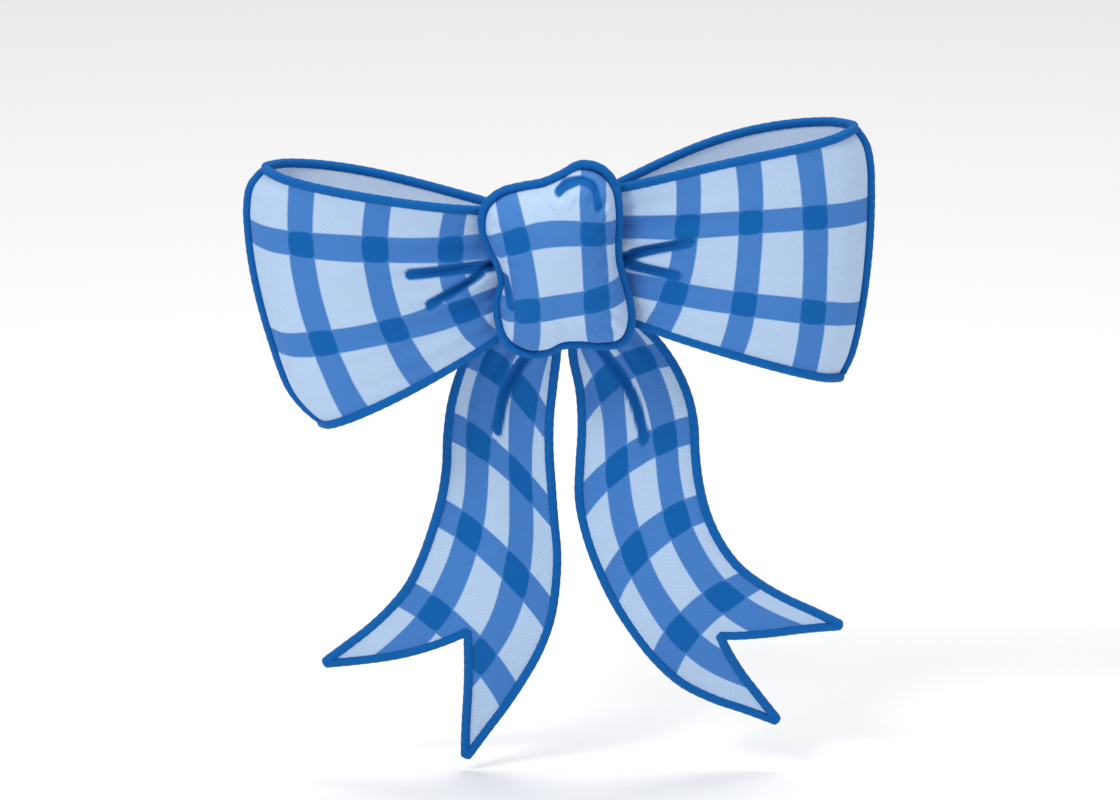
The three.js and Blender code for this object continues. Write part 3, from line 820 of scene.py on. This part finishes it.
def make_knot():
    """The knot's front, with waves, puckers at its seam and two folds, its cord, and its
    back, which is drawn in towards the card."""
    low, high = corners("knot_front_panel")
    box_middle = (low + high) / 2
    seam_low, seam_high = corners("knot_piping")
    seam_y = (seam_low[1] + seam_high[1]) / 2
    inset = 0.935  # the front stops short of its seam, so that the whole cord shows
    points, r = knot_dome(seam_y, low[1] - seam_y, inset, 2.6)
    x, z = points[..., 0] - box_middle[0], points[..., 2] - box_middle[2]
    fold = np.zeros(x.shape)
    waves, puckers = 0.35, 0.45  # mm
    round_rim = np.linspace(0, 2 * np.pi, KNOT_SIDES, endpoint=False)[None, :]
    pucker = np.cos(KNOT_PUCKERS * round_rim + 1.5 * np.sin(3 * round_rim))
    relief = waves * np.sin(x / 4.1 + 0.6) * np.sin(z / 5.3) * (1 - r[:, None] ** 6)
    relief += puckers * pucker * ease(r[:, None], 0.55, 0.93) * (1 - r[:, None] ** 12)
    for path in KNOT_FOLDS:
        distance, place = distance_to_path(x, z, path)
        strength = 1 - 0.5 * ease(place, 0.75, 1.0)
        bend = fold_relief(distance, strength, *KNOT_FOLD_SIZE)
        relief += bend * ease(1 - r[:, None], 0.0, 0.06)
        # Painted shade darkens the bottom of each fold.
        fold = np.maximum(fold, painted_fold_shade(distance, 0, KNOT_FOLD_SHADE_HALF))
    points[..., 1] -= relief
    points = settle(points)
    maps = knot_maps(points)
    front = closed_dome("knot_front", points, (0, -1, 0), maps, fold)
    stand_for(front, "knot_front_panel", "knot")
    ring, middle = knot_outline(500)
    path = np.stack([ring[:, 0], np.full(len(ring), seam_y), ring[:, 1]], 1)
    cord = binding_cord("knot_cord", path, "knot_piping", "knot", closed=True)
    back_high = corners("knot_back_panel")[1]
    points, r = knot_dome(seam_y, back_high[1] - seam_y, 0.97, 5.0)
    drawn_in = 0.13  # share by which the back is smaller than the seam
    taper = 1 - drawn_in * ease(points[..., 1], seam_y, back_high[1] - 3)
    points[..., 0] = middle[0] + (points[..., 0] - middle[0]) * taper
    points[..., 2] = middle[1] + (points[..., 2] - middle[1]) * taper
    maps = knot_maps(points)
    back = closed_dome("knot_back", settle(points), (0, 1, 0), maps, np.zeros(points.shape[:2]))
    stand_for(back, "knot_back_panel", "knot")


# ---- what the knot holds ------------------------------------------------------------
def closed_form(name, points, material):
    """A closed form from rings of points: the first and last ring each draw to a pole."""
    rings, sides = points.shape[:2]
    faces = grid_faces(rings, sides, wrap_columns=True)
    poles = np.stack([points[0].mean(axis=0), points[-1].mean(axis=0)])
    all_points = np.vstack([points.reshape(-1, 3), poles])
    k = np.arange(sides)
    k1 = (k + 1) % sides
    last = (rings - 1) * sides
    start = np.stack([np.full(sides, rings * sides), k1, k], 1)
    end = np.stack([np.full(sides, rings * sides + 1), last + k, last + k1], 1)
    uv = np.vstack([np.stack(np.meshgrid(np.arange(sides), np.arange(rings)), -1)
                    .reshape(-1, 2) * 0.5, np.zeros((2, 2))])
    return write_mesh(name, all_points, faces, np.vstack([start, end]), [material],
                      {"cloth": uv})


def make_wadding():
    """A lump of wadding: the knot's outline shrunk by 0.76 (cos t)^0.8, well clear of the
    cloth, and pushed out by sin t, with small lumps."""
    low, high = corners("knot_wadding")
    sides, rings = 90, 26
    ring, middle = knot_outline(sides)
    turn = np.linspace(-0.35, 1.4, rings)[:, None]
    scale = 0.76 * np.cos(turn) ** 0.8
    points = np.empty((rings, sides, 3))
    points[..., 0] = middle[0] + (ring[:, 0] - middle[0])[None] * scale
    points[..., 2] = middle[1] + (ring[:, 1] - middle[1])[None] * scale
    depth = high[1] - low[1]
    points[..., 1] = high[1] - 0.2 * depth - 0.55 * depth * np.sin(turn)
    lumps = 0.3 * np.sin(points[..., 0] / 1.7) * np.sin(points[..., 2] / 1.9)
    points[..., 1] += lumps
    piece = closed_form("wadding", points, WADDING)
    stand_for(piece, "knot_wadding", "knot")


def make_gather():
    """The pinched ribbon: a waisted bundle round X whose radius is the node's, with
    fourteen pleats, and thread wound round the waist in a helix."""
    low, high = corners("loop_gather")
    radius = (high[2] - low[2]) / 2
    centre_y = (high[1] + low[1]) / 2
    x = np.linspace(low[0], high[0], 60)[:, None]
    angle = np.linspace(0, 2 * np.pi, 168, endpoint=False)[None, :]
    waist = corners("gather_thread")
    lashing, pleats = 1.4, 14  # thickness of the wound thread in mm, and how many pleats
    waist_radius = (waist[1][2] - waist[0][2]) / 2 - lashing
    size = waist_radius + (radius - waist_radius) * ease(np.abs(x), 1.6, high[0])
    size = size * (0.95 + 0.05 * np.cos(pleats * angle))
    points = np.stack(np.broadcast_arrays(x, centre_y + size * np.cos(angle),
                                          size * np.sin(angle)), -1)
    bundle = closed_form("loop_gather_pleats", points, REVERSE)
    stand_for(bundle, "loop_gather", "knot")
    turns, thread_radius = 4, 0.3
    t = np.linspace(0, 2 * np.pi * turns, 260)
    clearance = 0.25
    winding = waist_radius + thread_radius + clearance
    helix = np.stack([(t / t[-1] - 0.5) * turns * 2 * thread_radius,
                      centre_y + winding * np.cos(t), winding * np.sin(t)], 1)
    thread = cord_mesh("gather_thread_turns", helix, thread_radius, THREAD, 10)
    stand_for(thread, "gather_thread", "knot")


def make_tail_fold():
    """The middle of the tail ribbon, folded flat: a stadium round X, pinched in pleats."""
    low, high = corners("tail_fold")
    x = np.linspace(low[0], high[0], 60)[:, None]
    angle = np.linspace(0, 2 * np.pi, 80, endpoint=False)[None, :]
    half_y, half_z = (high[1] - low[1]) / 2, (high[2] - low[2]) / 2
    centre = (low + high) / 2
    pinch = 1 - 0.25 * np.cos(np.pi * (x - centre[0]) / (high[0] - low[0])) ** 2
    rounded = np.sign(np.cos(angle)) * np.abs(np.cos(angle)) ** 0.6
    y = centre[1] + half_y * pinch * rounded * (0.9 + 0.1 * np.cos(x * 2.2))
    z = centre[2] + half_z * pinch * np.sin(angle)
    piece = closed_form("tail_ribbon_fold", np.stack(np.broadcast_arrays(x, y, z), -1), REVERSE)
    stand_for(piece, "tail_fold", "knot")


# ---- behind the knot ----------------------------------------------------------------
def tie_strip(name, node, body):
    """A twist tie: a flat strip with a rounded rib over its wire. Across it, half height
    is flange + rib exp(-(z / rib width)^2); its ends are rounded."""
    low, high = corners(node)
    centre_y = (low[1] + high[1]) / 2
    half_width = (high[2] - low[2]) / 2
    x = np.linspace(low[0], high[0], 90)[:, None]
    t = np.linspace(0, 2 * np.pi, 96, endpoint=False)[None, :]
    rounding, narrowing = 1.2, 0.25  # length of a rounded end in mm, and share it loses
    from_end = np.minimum(x - low[0], high[0] - x)
    trim = 1 - narrowing * (1 - np.clip(from_end / rounding, 0, 1)) ** 2
    z = half_width * np.cos(t) * trim
    flange, rib, rib_width = 0.12, 0.15, 0.55
    thick = np.abs(np.sin(t)) ** 0.3 * (flange + rib * np.exp(-(z / rib_width) ** 2))
    y = centre_y + np.sign(np.sin(t)) * thick
    points = np.stack(np.broadcast_arrays(x, y, z), -1)
    stand_for(closed_form(name, points, TIE), node, body)


def paint_nodes():
    for node, material in (("backing_card", CARD), ("foam_pad", FOAM), ("release_liner", LINER)):
        mesh = NODES[node].data
        mesh.materials.clear()
        mesh.materials.append(material)


# ---- stage --------------------------------------------------------------------------
def make_camera():
    """A long lens square on to the bow and 15 degrees above it."""
    low, high = np.array(cad_low), np.array(cad_high)
    raised = 0.578  # the view's middle, as a share of the bow's height
    aim = Vector((0.0, (low[1] + high[1]) / 2, low[2] + raised * (high[2] - low[2])))
    elevation = math.radians(15)
    distance = 2.4
    data = bpy.data.cameras.new("camera")
    camera = bpy.data.objects.new("camera", data)
    bpy.context.scene.collection.objects.link(camera)
    camera.location = aim + Vector((0, -math.cos(elevation), math.sin(elevation))) * distance
    camera.rotation_euler = (math.radians(90) - elevation, 0, 0)
    data.sensor_width = 36.0
    frame_width = 0.2856  # metres across the view at the bow
    data.lens = data.sensor_width * distance / frame_width
    data.clip_end = 20
    bpy.context.scene.camera = camera


def make_stage():
    """A pale floor just under the tails and soft light from above, left and right."""
    floor_z = cad_low[2] - 2.5 * MM
    size = 6.0  # half of its side, m
    mesh = bpy.data.meshes.new("floor")
    mesh.from_pydata([(-size, -size, floor_z), (size, -size, floor_z),
                      (size, size, floor_z), (-size, size, floor_z)], [], [(0, 1, 2, 3)])
    material, _, shader = new_material("pale_floor")
    shader.inputs["Base Color"].default_value = (0.97, 0.97, 0.97, 1)
    shader.inputs["Roughness"].default_value = 0.9
    mesh.materials.append(material)
    floor = bpy.data.objects.new("floor", mesh)
    bpy.context.scene.collection.objects.link(floor)
    world = bpy.data.worlds.new("studio")
    bpy.context.scene.world = world
    world.use_nodes = True
    background = world.node_tree.nodes["Background"]
    background.inputs["Color"].default_value = (1, 1, 1, 1)
    background.inputs["Strength"].default_value = 0.6
    middle = Vector((0, 0, -0.04))  # of the bow
    for name, place, power, width in (("key", (-0.7, -0.8, 0.9), 6.4, 0.35),
                                      ("fill", (0.8, -0.8, 0.3), 1.2, 0.8),
                                      ("top", (0.1, 0.15, 1.1), 6.0, 0.7)):
        light = bpy.data.lights.new(name, "AREA")
        light.energy = power
        light.size = width
        lamp = bpy.data.objects.new(name, light)
        lamp.location = place
        lamp.rotation_euler = (middle - Vector(place)).to_track_quat("-Z", "Y").to_euler()
        bpy.context.scene.collection.objects.link(lamp)
    bpy.context.scene.view_settings.view_transform = "Standard"


make_camera()
for bow_side in ("left", "right"):
    make_loop(bow_side)
    make_tail(bow_side)
    tie_strip(f"tie_leg_{bow_side}", f"twist_tie_leg_{bow_side}", f"{bow_side}_tie_leg")
tie_strip("tie_middle", "twist_tie_centre", "knot")
make_knot()
make_wadding()
make_gather()
make_tail_fold()
paint_nodes()
make_stage()
